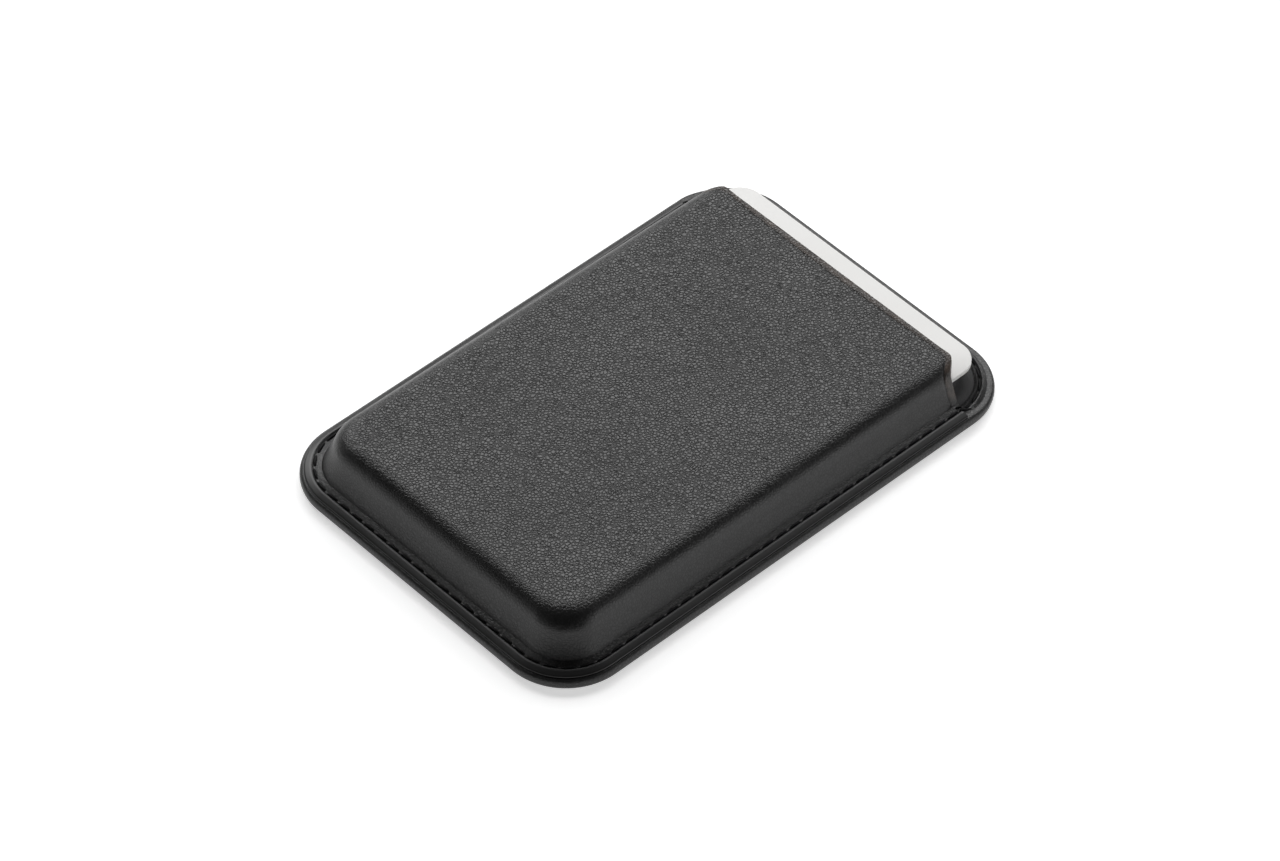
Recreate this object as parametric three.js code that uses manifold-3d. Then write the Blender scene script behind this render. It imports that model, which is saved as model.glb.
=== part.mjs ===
// Magnetic card holder: a stitched leather back panel with a moulded pocket on it,
// open at the +Y end, and one card in the pocket.
// Millimetres, +Z up. The origin is the middle of the outline, on the plane that
// the back lies on. +Y runs along the holder to the pocket's mouth.

import * as THREE from 'three';
import Module from 'manifold-3d';
import { mergeVertices } from 'three/addons/utils/BufferGeometryUtils.js';

// ---- Driving dimensions --------------------------------------------------------

// The outline's width follows from the card that the pocket is made for.
const LENGTH = 97;
const CORNER_RADIUS = 11;
const LEAST_CORNER_RADIUS = 1;
const GLUE_GAP = 0.03;

// Card.
const CARD_WIDTH = 53.98;
const CARD_LENGTH = 85.6;
const CARD_THICKNESS = 0.76;
const CARD_CORNER_RADIUS = 4.0;
const CARD_PROUD = 5.5;
const CARD_SIDE_ROOM = 0.24;
const CARD_LIFT = 0.04;

// Back panel: a skin whose edge is turned over the carrier's skirt.
const SKIN = 0.8;
const RIM_HEIGHT = 2.35;
const ROLL_DROP = 0.15;
const TURN_IN_UNDERSIDE = 1.3;
const LEDGE_MARGIN = 0.35;
const LEDGE_WIDTH = 1.4;

// Seam: one line of stitches, sunk in a groove on both faces.
const SEAM_INSET = 2.35;
const GROOVE_WIDTH = 1.0;
const GROOVE_FLOOR_SHARE = 0.6;
const GROOVE_DEPTH = 0.43;
const GROOVE_LAND = 0.75;
const STITCH_PITCH = 2.8;
const THREAD_RADIUS = 0.2;
const THREAD_PINCH = 0.1;

// Floor lining: a pad that is thick in the middle and skived thin at its edge.
const LINING_EDGE = 0.45;
const LINING_MIDDLE = 2.03;
const LINING_RAMP = 1.5;
const LINING_RAMP_START = 0.1;

// Magnets and the steel plate that shields the card from them.
const CARRIER_DROP = 0.3;
const CARRIER_FLOOR = 0.3;
const BLOCK_MARGIN = 0.7;
const RING_OUTER_DIAMETER = 54;
const MAGNET_WIDTH = 4;
const RING_COUNT = 16;
const MAGNET_GAP = 0.3;
const MAGNET_CLEARANCE = 0.1;
const ALIGNMENT_WIDTH = 6;
const ALIGNMENT_LENGTH = 18;
const ALIGNMENT_DISTANCE = 37;
const SHIELD_THICKNESS = 0.34;

// Pocket front: flange, concave foot, steep wall, round shoulder and flat top.
const LEATHER = 0.8;
const FLANGE_OUTER_INSET = 0.7;
const BEAD_RADIUS = 0.38;
const FOOT_RADIUS = 17;
const FOOT_ANGLE = THREE.MathUtils.degToRad(63);
const WALL_ANGLE = THREE.MathUtils.degToRad(74.5);
const SHOULDER_RADIUS = 3.6;
const POCKET_RISE = 6.1;
const TOP_CORNER_RADIUS = 5.5;
const TOP_FALL = 1.0 / 80;
const STIFFENER_THICKNESS = 0.5;
const FRONT_LINING = 0.37;

// Mouth: the edge bows in the middle of the top and steps back where the walls begin.
const MOUTH_INSET = 8.9;
const MOUTH_BOW = 0.5;
const MOUTH_STEP_BACK = 2.3;
const MOUTH_STEP_START = 0.4;
const MOUTH_STEP_WIDTH = 3.0;
const MOUTH_OVERRUN = 20;

// How finely the curves are divided.
const CORNER_STEPS = 8;
const SIDE_STEPS = 5;
const RIM_STEPS = 6;
const BEAD_STEPS = 4;
const FOOT_STEPS = 4;
const SHOULDER_STEPS = 6;
const MOUTH_STEP_STEPS = 6;
const MOUTH_TOP_STEPS = 5;
const MAGNET_STEPS = 4;
const RECESS_STEPS = 48;
const THREAD_SIDES = 6;
const MERGE_DISTANCE = 1e-4;

// ---- Sizes that follow ---------------------------------------------------------

const ROLL_RADIUS = (RIM_HEIGHT - ROLL_DROP) / 2;
const HALF_SEAM = GROOVE_WIDTH / 2;
const FOOT_INSET = SEAM_INSET + HALF_SEAM + GROOVE_LAND;
const LEDGE_INSET = SEAM_INSET + HALF_SEAM + LEDGE_MARGIN;
const TURN_IN_INSET = LEDGE_INSET + LEDGE_WIDTH;
const LEDGE_HEIGHT = RIM_HEIGHT - LINING_EDGE;
const CARRIER_BOTTOM = SKIN + GLUE_GAP;
const CARRIER_TOP = RIM_HEIGHT - CARRIER_DROP;
const SKIRT_TOP = TURN_IN_UNDERSIDE - GLUE_GAP;
const BLOCK_INSET = TURN_IN_INSET + BLOCK_MARGIN;
const SHIELD_INSET = BLOCK_INSET + LINING_RAMP;
const SHIELD_BOTTOM = CARRIER_TOP + GLUE_GAP;
const SHIELD_TOP = SHIELD_BOTTOM + SHIELD_THICKNESS;
const FLOOR_UNDERSIDE = SHIELD_TOP + GLUE_GAP;
const FLOOR_TOP = FLOOR_UNDERSIDE + LINING_MIDDLE;
const FLANGE_TOP = RIM_HEIGHT + LEATHER;
const THREAD_DEPTH = GROOVE_DEPTH / 2;

// The wall's foot is an arc. The card has its side room inside the pocket's lining,
// measured at the card's top, and this sets the width.
const LINING_DEPTH = LEATHER + GLUE_GAP;
const FOOT_CENTRE_HEIGHT = FLANGE_TOP + FOOT_RADIUS * Math.cos(FOOT_ANGLE);
const FOOT_CENTRE_INSET = FOOT_INSET - FOOT_RADIUS * Math.sin(FOOT_ANGLE);
const CARD_BOTTOM = FLOOR_TOP + CARD_LIFT;
const CARD_TOP = CARD_BOTTOM + CARD_THICKNESS;
const INNER_RADIUS = FOOT_RADIUS + LINING_DEPTH + FRONT_LINING;
const POCKET_SIDE = FOOT_CENTRE_INSET
  + Math.sqrt(INNER_RADIUS ** 2 - (FOOT_CENTRE_HEIGHT - CARD_TOP) ** 2);
const WIDTH = CARD_WIDTH + 2 * (POCKET_SIDE + CARD_SIDE_ROOM);
const MOUTH_Y = LENGTH / 2 - MOUTH_INSET;

const MAGNET_BOTTOM = CARRIER_BOTTOM + CARRIER_FLOOR;
const MAGNET_TOP = CARRIER_TOP - GLUE_GAP;
const RING_CENTRE_Y = LENGTH / 2 - WIDTH / 2;
const RING_OUTER_RADIUS = RING_OUTER_DIAMETER / 2;
const RING_INNER_RADIUS = RING_OUTER_RADIUS - MAGNET_WIDTH;

const wasm = await Module();
wasm.setup();

// ---- Section of the pocket's wall -----------------------------------------------

// Section of the pocket's wall from foot to top, as [inset, height] points, at a
// depth below the leather's outer face. The foot starts where the curve is above
// startHeight, and the shoulder ends level at topHeight.
function wallSection(depth, startHeight, topHeight, shoulderRadius) {
  const footRadius = FOOT_RADIUS + depth;
  const startAngle = Math.acos((FOOT_CENTRE_HEIGHT - startHeight) / footRadius);
  const foot = evenSteps(startAngle, WALL_ANGLE, FOOT_STEPS).map((angle) => [
    FOOT_CENTRE_INSET + footRadius * Math.sin(angle),
    FOOT_CENTRE_HEIGHT - footRadius * Math.cos(angle)]);
  const [wallInset, wallHeight] = foot.at(-1);
  const shoulderCentre = topHeight - shoulderRadius;
  const shoulderFoot = shoulderCentre + shoulderRadius * Math.cos(WALL_ANGLE);
  const topInset = wallInset + (shoulderFoot - wallHeight) / Math.tan(WALL_ANGLE)
    + shoulderRadius * Math.sin(WALL_ANGLE);
  const shoulder = evenSteps(WALL_ANGLE, 0, SHOULDER_STEPS).map((angle) => [
    topInset - shoulderRadius * Math.sin(angle),
    shoulderCentre + shoulderRadius * Math.cos(angle)]);
  return [...foot, ...shoulder];
}

function evenSteps(from, to, steps) {
  return Array.from({ length: steps + 1 }, (_, step) => from + (to - from) * step / steps);
}

const TOP_HEIGHT = FLANGE_TOP + POCKET_RISE;
const OUTER_WALL = wallSection(0, FLANGE_TOP, TOP_HEIGHT, SHOULDER_RADIUS);
const TOP_INSET = OUTER_WALL.at(-1)[0];
const HALF_TOP = WIDTH / 2 - TOP_INSET;
const STEP_START = HALF_TOP + MOUTH_STEP_START;
const STEP_END = STEP_START + MOUTH_STEP_WIDTH;

// ---- Shape helpers -------------------------------------------------------------

// Corner radius of the outline at a given inset. It shrinks with the inset down to
// the foot of the pocket's wall, and from there it eases to the top's own radius.
function cornerRadius(inset) {
  if (inset <= FOOT_INSET) {
    return Math.max(CORNER_RADIUS - inset, LEAST_CORNER_RADIUS);
  }
  const share = Math.min((inset - FOOT_INSET) / (TOP_INSET - FOOT_INSET), 1);
  return THREE.MathUtils.lerp(CORNER_RADIUS - FOOT_INSET, TOP_CORNER_RADIUS, share);
}

// Rounded rectangle, counter-clockwise from above, at one height. The long sides
// have points between their corners too, because the pocket's top isn't level.
function roundedLoop(halfWidth, yNear, yFar, radius, z) {
  const corner = (x, y, quarter) =>
    evenSteps(quarter * Math.PI / 2, (quarter + 1) * Math.PI / 2, CORNER_STEPS)
      .map((angle) => [x + radius * Math.cos(angle), y + radius * Math.sin(angle), z]);
  const side = (x, from, to) =>
    evenSteps(from, to, SIDE_STEPS).slice(1, -1).map((y) => [x, y, z]);
  const x = halfWidth - radius;
  const near = yNear + radius;
  const far = yFar - radius;
  return [
    ...corner(x, far, 0), ...corner(-x, far, 1), ...side(-halfWidth, far, near),
    ...corner(-x, near, 2), ...corner(x, near, 3), ...side(halfWidth, near, far),
  ];
}

// Loop of the holder's outline, moved in by an inset.
function outlineLoop(inset, z) {
  const radius = cornerRadius(inset);
  return roundedLoop(WIDTH / 2 - inset, inset - LENGTH / 2, LENGTH / 2 - inset, radius, z);
}

// Closed solid from loops: a cap on the first, walls between them, a cap on the last.
// The loops run from the underside's middle outward and back over the top.
function solidFromLoops(loops) {
  const count = loops[0].length;
  const positions = loops.flat(2);
  const index = [];
  const middle = (loop) => [0, 1, 2].map(
    (axis) => loop.reduce((sum, point) => sum + point[axis], 0) / count);
  const firstMiddle = positions.length / 3;
  positions.push(...middle(loops[0]), ...middle(loops.at(-1)));
  for (let i = 0; i < count; i += 1) {
    const next = (i + 1) % count;
    const top = (loops.length - 1) * count;
    index.push(firstMiddle, next, i);
    index.push(firstMiddle + 1, top + i, top + next);
    for (let row = 0; row < loops.length - 1; row += 1) {
      const lower = row * count;
      const upper = lower + count;
      index.push(lower + i, lower + next, upper + next);
      index.push(lower + i, upper + next, upper + i);
    }
  }
  return bufferGeometry(positions, index);
}

function bufferGeometry(positions, index) {
  const geometry = new THREE.BufferGeometry();
  geometry.setAttribute('position', new THREE.Float32BufferAttribute(positions, 3));
  geometry.setIndex(index);
  return geometry;
}

function toManifold(geometry) {
  const bare = geometry.clone();
  bare.deleteAttribute('normal');
  bare.deleteAttribute('uv');
  const merged = mergeVertices(bare, MERGE_DISTANCE);
  return new wasm.Manifold(new wasm.Mesh({
    numProp: 3,
    vertProperties: new Float32Array(merged.attributes.position.array),
    triVerts: new Uint32Array(merged.index.array),
  }));
}

function fromManifold(solid) {
  const mesh = solid.getMesh();
  return bufferGeometry(Array.from(mesh.vertProperties), Array.from(mesh.triVerts));
}

function subtract(geometry, ...tools) {
  return fromManifold(tools.reduce(
    (solid, tool) => solid.subtract(toManifold(tool)), toManifold(geometry)));
}

// Flat plate that follows the outline at one inset.
function plate(inset, zBottom, zTop) {
  return solidFromLoops([outlineLoop(inset, zBottom), outlineLoop(inset, zTop)]);
}

// ---- Back panel ----------------------------------------------------------------

// Points across a stitch groove, from its outer lip to its inner lip. Depth is
// signed: below the face for the top groove, above it for the bottom one.
function groove(z, depth) {
  const floorHalf = HALF_SEAM * GROOVE_FLOOR_SHARE;
  return [
    [SEAM_INSET - HALF_SEAM, z],
    [SEAM_INSET - floorHalf, z + depth],
    [SEAM_INSET + floorHalf, z + depth],
    [SEAM_INSET + HALF_SEAM, z],
  ];
}

// The panel's rolled edge, from the underside up to its crown.
function rimSection() {
  return evenSteps(0, Math.PI, RIM_STEPS).map((angle) => [
    ROLL_RADIUS * (1 - Math.sin(angle)), ROLL_RADIUS * (1 - Math.cos(angle))]);
}

function backLeather() {
  const section = [
    ...groove(0, GROOVE_DEPTH).reverse(),
    ...rimSection(),
    ...groove(RIM_HEIGHT, -GROOVE_DEPTH),
    [LEDGE_INSET, RIM_HEIGHT],
    [LEDGE_INSET, LEDGE_HEIGHT],
    [TURN_IN_INSET, LEDGE_HEIGHT],
    [TURN_IN_INSET, TURN_IN_UNDERSIDE],
    [SKIN, TURN_IN_UNDERSIDE],
    [SKIN, SKIN],
  ];
  return solidFromLoops(section.map(([inset, z]) => outlineLoop(inset, z)));
}

// Arc-shaped slab of the magnet ring, between two angles.
function arcSlab(innerRadius, outerRadius, from, to, height) {
  const shape = new THREE.Shape();
  shape.absarc(0, 0, outerRadius, from, to, false);
  shape.absarc(0, 0, innerRadius, to, from, true);
  shape.closePath();
  return new THREE.ExtrudeGeometry(
    shape, { depth: height, bevelEnabled: false, curveSegments: MAGNET_STEPS });
}

function ringRecess() {
  const shape = new THREE.Shape();
  shape.absarc(0, 0, RING_OUTER_RADIUS + MAGNET_CLEARANCE, 0, Math.PI * 2, false);
  const hole = new THREE.Path();
  hole.absarc(0, 0, RING_INNER_RADIUS - MAGNET_CLEARANCE, 0, Math.PI * 2, true);
  shape.holes.push(hole);
  const recess = new THREE.ExtrudeGeometry(
    shape, { depth: CARRIER_TOP, bevelEnabled: false, curveSegments: RECESS_STEPS });
  return recess.translate(0, RING_CENTRE_Y, MAGNET_BOTTOM - GLUE_GAP);
}

function alignmentRecess() {
  const grow = 2 * MAGNET_CLEARANCE;
  const recess = new THREE.BoxGeometry(
    ALIGNMENT_WIDTH + grow, ALIGNMENT_LENGTH + grow, CARRIER_TOP);
  const z = MAGNET_BOTTOM - GLUE_GAP + CARRIER_TOP / 2;
  return recess.translate(0, RING_CENTRE_Y - ALIGNMENT_DISTANCE, z);
}

function magnetCarrier() {
  const skirtInset = SKIN + GLUE_GAP;
  const body = solidFromLoops([
    outlineLoop(skirtInset, CARRIER_BOTTOM),
    outlineLoop(skirtInset, SKIRT_TOP),
    outlineLoop(BLOCK_INSET, SKIRT_TOP),
    outlineLoop(BLOCK_INSET, CARRIER_TOP),
  ]);
  return subtract(body, ringRecess(), alignmentRecess());
}

function ringMagnet(number) {
  const pitch = Math.PI * 2 / RING_COUNT;
  const gapAngle = MAGNET_GAP / RING_INNER_RADIUS;
  const from = number * pitch + gapAngle / 2;
  const height = MAGNET_TOP - MAGNET_BOTTOM;
  const slab = arcSlab(
    RING_INNER_RADIUS, RING_OUTER_RADIUS, from, from + pitch - gapAngle, height);
  return slab.translate(0, RING_CENTRE_Y, MAGNET_BOTTOM);
}

function alignmentMagnet() {
  const height = MAGNET_TOP - MAGNET_BOTTOM;
  const bar = new THREE.BoxGeometry(ALIGNMENT_WIDTH, ALIGNMENT_LENGTH, height);
  return bar.translate(0, RING_CENTRE_Y - ALIGNMENT_DISTANCE, MAGNET_BOTTOM + height / 2);
}

// The lining's edge lies on the turned edge's ledge, level with the rim.
function backLining() {
  const rampInset = TURN_IN_INSET + LINING_RAMP_START;
  const edgeInset = LEDGE_INSET + GLUE_GAP;
  const ledge = LEDGE_HEIGHT + GLUE_GAP;
  return solidFromLoops([
    outlineLoop(rampInset + LINING_RAMP, FLOOR_UNDERSIDE),
    outlineLoop(rampInset, ledge),
    outlineLoop(edgeInset, ledge),
    outlineLoop(edgeInset, RIM_HEIGHT - GLUE_GAP),
    outlineLoop(rampInset, RIM_HEIGHT - GLUE_GAP),
    outlineLoop(rampInset + LINING_RAMP, FLOOR_TOP),
  ]);
}

// ---- Pocket front --------------------------------------------------------------

// The pocket's front is a little lower at the mouth than at its closed end. All of
// it, from the rim up, follows this fall.
function fallen(y, z) {
  const share = (z - RIM_HEIGHT) / (TOP_HEIGHT - RIM_HEIGHT);
  return z - y * TOP_FALL * share;
}

// Loop of the pocket's front, drawn past the mouth, where it is cut off later.
function pocketLoop(inset, z) {
  const radius = cornerRadius(inset);
  const far = LENGTH / 2 + MOUTH_OVERRUN - inset;
  const loop = roundedLoop(WIDTH / 2 - inset, inset - LENGTH / 2, far, radius, z);
  return loop.map(([x, y]) => [x, y, fallen(y, z)]);
}

// Y of the mouth's edge at a distance from the middle.
function mouthEdge(x) {
  const across = Math.min(Math.abs(x) / HALF_TOP, 1);
  const bow = MOUTH_BOW * across * across;
  const down = THREE.MathUtils.smoothstep(Math.abs(x), STEP_START, STEP_END);
  return MOUTH_Y - MOUTH_BOW / 2 + bow - MOUTH_STEP_BACK * down;
}

// Solid that fills everything beyond the mouth's edge.
function mouthCutter() {
  const side = [
    WIDTH, ...evenSteps(STEP_END, STEP_START, MOUTH_STEP_STEPS),
    ...evenSteps(HALF_TOP, 0, MOUTH_TOP_STEPS),
  ];
  const across = [...side, ...side.slice(0, -1).reverse().map((x) => -x)];
  const shape = new THREE.Shape();
  const beyond = LENGTH / 2 + MOUTH_OVERRUN * 2;
  shape.moveTo(-WIDTH, beyond);
  across.reverse().forEach((x) => shape.lineTo(x, mouthEdge(x)));
  shape.lineTo(WIDTH, beyond);
  shape.closePath();
  const height = TOP_HEIGHT * 2;
  return new THREE.ExtrudeGeometry(shape, { depth: height, bevelEnabled: false })
    .translate(0, 0, -TOP_HEIGHT / 2);
}

function frontLeather() {
  const under = wallSection(
    LEATHER, RIM_HEIGHT, TOP_HEIGHT - LEATHER, SHOULDER_RADIUS - LEATHER);
  const underside = RIM_HEIGHT + GLUE_GAP;
  const beadCentre = FLANGE_OUTER_INSET + BEAD_RADIUS;
  const middle = (underside + FLANGE_TOP) / 2;
  const bead = evenSteps(0, Math.PI, BEAD_STEPS).map((angle) => [
    beadCentre - BEAD_RADIUS * Math.sin(angle), middle - (FLANGE_TOP - middle) * Math.cos(angle)]);
  const section = [
    ...under.slice(1).reverse(),
    [under[0][0], underside],
    ...bead,
    ...groove(FLANGE_TOP, -GROOVE_DEPTH),
    ...OUTER_WALL,
  ];
  const dome = solidFromLoops(section.map(([inset, z]) => pocketLoop(inset, z)));
  return subtract(dome, mouthCutter());
}

function frontStiffener() {
  const top = TOP_HEIGHT - LEATHER - GLUE_GAP;
  const inset = TOP_INSET + GLUE_GAP;
  const board = solidFromLoops([
    pocketLoop(inset, top - STIFFENER_THICKNESS),
    pocketLoop(inset, top),
  ]);
  return subtract(board, mouthCutter());
}

function frontLining() {
  const edge = RIM_HEIGHT + GLUE_GAP;
  const outerTop = TOP_HEIGHT - LEATHER - STIFFENER_THICKNESS - 2 * GLUE_GAP;
  const outerShoulder = SHOULDER_RADIUS - LEATHER - STIFFENER_THICKNESS;
  const outer = wallSection(LINING_DEPTH, edge, outerTop, outerShoulder);
  const inner = wallSection(
    LINING_DEPTH + FRONT_LINING, edge, outerTop - FRONT_LINING, outerShoulder - FRONT_LINING);
  const section = [...inner.reverse(), ...outer];
  const dome = solidFromLoops(section.map(([inset, z]) => pocketLoop(inset, z)));
  return subtract(dome, mouthCutter());
}

// ---- Seam ----------------------------------------------------------------------

// Point and direction along the seam line, by distance from the far side's middle.
function seamPath() {
  const radius = CORNER_RADIUS - SEAM_INSET;
  const x = WIDTH / 2 - SEAM_INSET;
  const y = LENGTH / 2 - SEAM_INSET;
  const path = new THREE.Path();
  path.moveTo(0, y);
  path.lineTo(radius - x, y);
  path.absarc(radius - x, y - radius, radius, Math.PI / 2, Math.PI, false);
  path.lineTo(-x, radius - y);
  path.absarc(radius - x, radius - y, radius, Math.PI, Math.PI * 1.5, false);
  path.lineTo(x - radius, -y);
  path.absarc(x - radius, radius - y, radius, Math.PI * 1.5, Math.PI * 2, false);
  path.lineTo(x, y - radius);
  path.absarc(x - radius, y - radius, radius, 0, Math.PI / 2, false);
  path.lineTo(0, y);
  return path;
}

// Closed thread that is full in the middle of each stitch and thin at each hole.
function seamThread(heightAt) {
  const path = seamPath();
  const stitches = Math.round(path.getLength() / STITCH_PITCH);
  const rings = stitches * 2;
  const positions = [];
  const index = [];
  for (let ring = 0; ring < rings; ring += 1) {
    const at = ring / rings;
    const point = path.getPointAt(at);
    const along = path.getTangentAt(at);
    const radius = ring % 2 === 0 ? THREAD_RADIUS : THREAD_RADIUS - THREAD_PINCH;
    for (let side = 0; side < THREAD_SIDES; side += 1) {
      const angle = Math.PI * 2 * side / THREAD_SIDES;
      const out = radius * Math.cos(angle);
      positions.push(
        point.x + along.y * out, point.y - along.x * out,
        heightAt(point.y) + radius * Math.sin(angle));
      const nextRing = ((ring + 1) % rings) * THREAD_SIDES;
      const nextSide = (side + 1) % THREAD_SIDES;
      const here = ring * THREAD_SIDES;
      index.push(here + side, nextRing + nextSide, here + nextSide);
      index.push(here + side, nextRing + side, nextRing + nextSide);
    }
  }
  return bufferGeometry(positions, index);
}

// On the pocket's flange the thread lies higher than on the bare rim at the mouth.
function topThreadHeight(y) {
  const flangeEnd = mouthEdge(WIDTH / 2);
  const onFlange = y <= flangeEnd + STITCH_PITCH / 2 + GLUE_GAP;
  return (onFlange ? fallen(y, FLANGE_TOP) : RIM_HEIGHT) - THREAD_DEPTH;
}

// ---- Card ----------------------------------------------------------------------

function card() {
  const far = MOUTH_Y + CARD_PROUD;
  const loop = (z) => roundedLoop(
    CARD_WIDTH / 2, far - CARD_LENGTH, far, CARD_CORNER_RADIUS, z);
  return solidFromLoops([loop(CARD_BOTTOM), loop(CARD_TOP)]);
}

// ---- Assembly ------------------------------------------------------------------

const finish = (color, roughness, metalness = 0) => ({ color, roughness, metalness });
const FINISHES = {
  leather: finish(0x2b2b2c, 0.55),
  lining: finish(0x1c1c1d, 0.8),
  board: finish(0x6a5f50, 0.9),
  carrier: finish(0x3a3a3c, 0.6),
  magnet: finish(0xb9bcc0, 0.3, 1),
  steel: finish(0x9a9da1, 0.35, 1),
  thread: finish(0x101011, 0.6),
  card: finish(0xeeece8, 0.4),
};

const holder = new THREE.Group();
holder.name = 'card_holder';

function add(name, geometry, look) {
  const mesh = new THREE.Mesh(geometry, new THREE.MeshStandardMaterial(FINISHES[look]));
  mesh.name = name;
  holder.add(mesh);
}

add('back_leather', backLeather(), 'leather');
add('magnet_carrier', magnetCarrier(), 'carrier');
for (let number = 0; number < RING_COUNT; number += 1) {
  add(`magnet_${String(number + 1).padStart(2, '0')}`, ringMagnet(number), 'magnet');
}
add('alignment_magnet', alignmentMagnet(), 'magnet');
add('shield_plate', plate(SHIELD_INSET, SHIELD_BOTTOM, SHIELD_TOP), 'steel');
add('back_lining', backLining(), 'lining');
add('front_leather', frontLeather(), 'leather');
add('front_stiffener', frontStiffener(), 'board');
add('front_lining', frontLining(), 'lining');
add('seam_thread_top', seamThread(topThreadHeight), 'thread');
add('seam_thread_bottom', seamThread(() => THREAD_DEPTH), 'thread');
add('card', card(), 'card');

export default holder;
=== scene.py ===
"""A moulded leather card holder with one card in it, on a pale floor.

The sizes are in millimetres in the holder's own frame: +Y runs towards the
pocket's mouth and +Z out of the pocket. They are turned into metres where a
mesh or an object is made.
"""
import math

import bmesh
import bpy
import numpy as np
from mathutils import Matrix, Vector, geometry, kdtree, noise


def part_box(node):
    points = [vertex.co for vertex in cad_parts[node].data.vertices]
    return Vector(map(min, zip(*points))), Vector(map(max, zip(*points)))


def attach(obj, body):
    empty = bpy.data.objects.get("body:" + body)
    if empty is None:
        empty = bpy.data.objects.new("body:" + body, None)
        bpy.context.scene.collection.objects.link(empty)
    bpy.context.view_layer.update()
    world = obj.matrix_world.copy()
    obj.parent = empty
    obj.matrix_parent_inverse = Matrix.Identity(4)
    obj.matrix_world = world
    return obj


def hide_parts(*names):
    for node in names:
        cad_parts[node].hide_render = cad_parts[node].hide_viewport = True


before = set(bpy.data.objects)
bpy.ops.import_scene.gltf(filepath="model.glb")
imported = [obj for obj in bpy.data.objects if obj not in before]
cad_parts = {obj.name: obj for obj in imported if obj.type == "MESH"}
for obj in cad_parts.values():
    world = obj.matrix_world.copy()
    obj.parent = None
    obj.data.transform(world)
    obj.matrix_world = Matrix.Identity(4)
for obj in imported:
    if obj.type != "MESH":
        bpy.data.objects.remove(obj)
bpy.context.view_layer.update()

MM = 0.001


def node_box(name):
    low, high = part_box(name)
    return np.array(low) / MM, np.array(high) / MM


# ---- Sizes from the frame -------------------------------------------------------

back_low, back_high = node_box("back_leather")
_, lining_high = node_box("back_lining")
card_low, card_high = node_box("card")

WIDTH = back_high[0] - back_low[0]
LENGTH = back_high[1] - back_low[1]
RIM_HEIGHT = back_high[2]
FLOOR_TOP = lining_high[2]

# ---- Sizes shared with the CAD model --------------------------------------------

CORNER_RADIUS = 11.0
SKIN = 0.8
TURN_IN_UNDERSIDE = 1.3
SEAM_INSET = 2.35
GROOVE_DEPTH = 0.43
FOOT_INSET = 3.6
LEDGE_INSET = 3.2
LEDGE_WIDTH = 1.4
LINING_EDGE = 0.45
LINING_RAMP = 1.5
LINING_UNDERSIDE = 2.45
LEATHER = 0.8
GLUE_GAP = 0.03
FOOT_RADIUS = 17.0
FOOT_ANGLE = math.radians(63)
WALL_ANGLE = math.radians(74.5)
SHOULDER_RADIUS = 3.6
POCKET_RISE = 6.1
TOP_FALL = 1.0 / 80
TOP_CORNER_RADIUS = 5.5
MOUTH_INSET = 8.9
MOUTH_BOW = 0.5
MOUTH_STEP_BACK = 2.3
MOUTH_STEP_START = 0.4
MOUTH_STEP_WIDTH = 3.0
STITCH_PITCH = 2.8
CARD_CORNER_RADIUS = 4.0

FLANGE_TOP = RIM_HEIGHT + LEATHER
TOP_HEIGHT = FLANGE_TOP + POCKET_RISE
MOUTH_Y = LENGTH / 2 - MOUTH_INSET
TURN_IN_INSET = LEDGE_INSET + LEDGE_WIDTH
LEDGE_HEIGHT = RIM_HEIGHT - LINING_EDGE

# ---- Fine detail that only the visible surface has --------------------------------

CORNER_COLUMNS = 20
COLUMN_STEP = 0.9
LIP_RADIUS = 0.32
CREASE_DEPTH = 0.13
CREASE_HALF = 0.2
CREASE_TOP_INSET = 1.0
CREASE_WALL_INSET = 1.65
CREASE_WALL_START = 1.5
CREASE_WALL_END = 2
FLANGE_STEP_BACK = 0.7
FLANGE_STEP_START = 4.8
FLANGE_STEP_END = 6.3
GROOVE_HALF = 0.42
ROLL_RADIUS = 1.1
BARE_ROLL = 0.8
ROLL_SQUARENESS = 0.72
# Rows of [inset, height]: round the flange's edge, then over it and the seam's valley.
BEAD = [[1.2, 2.36], [0.95, 2.29], [0.78, 2.24], [0.68, 2.26], [0.66, 2.34], [0.69, 2.42],
        [0.78, 2.49], [0.95, 2.56], [1.2, 2.65], [1.45, 2.745], [1.72, 2.84]]
GROOVE_BOTTOM = 2.54
VALLEY = [[1.82, 2.84], [1.92, 2.79], [2.05, 2.69], [2.17, 2.6], [2.3, GROOVE_BOTTOM],
          [2.42, GROOVE_BOTTOM], [2.54, 2.58], [2.66, 2.64], [2.8, 2.69], [2.95, 2.74],
          [3.1, 2.79], [3.22, 2.83], [3.34, 2.87]]
VALLEY_END = 2.92

# Slow unevenness of the pocket's leather, and where its grain and burnish fade.
UNEVENNESS = 0.05
UNEVEN_SIZE = 14.0
FRONT_SEED = 1.7
WALL_GRAIN = 0.35
GRAIN_FADE = 2.2
BAND_FADE = 0.3
BAND_START = 0.6
BACK_GRAIN = 0.9
RIM_GRAIN = 0.4
UNDERSIDE_HEIGHT = 0.05

# Edges of the ledge, the lining and the card.
LEDGE_ROUND = 0.06
LEDGE_FALL = 0.17
LEDGE_EDGE_FALL = 0.23
LINING_RAMP_START = 0.1
LINING_EDGE_ROWS = ((0, 0.26), (0.08, 0.18), (0.7, 0.06))
CARD_EDGE_RADIUS = 0.12

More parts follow.
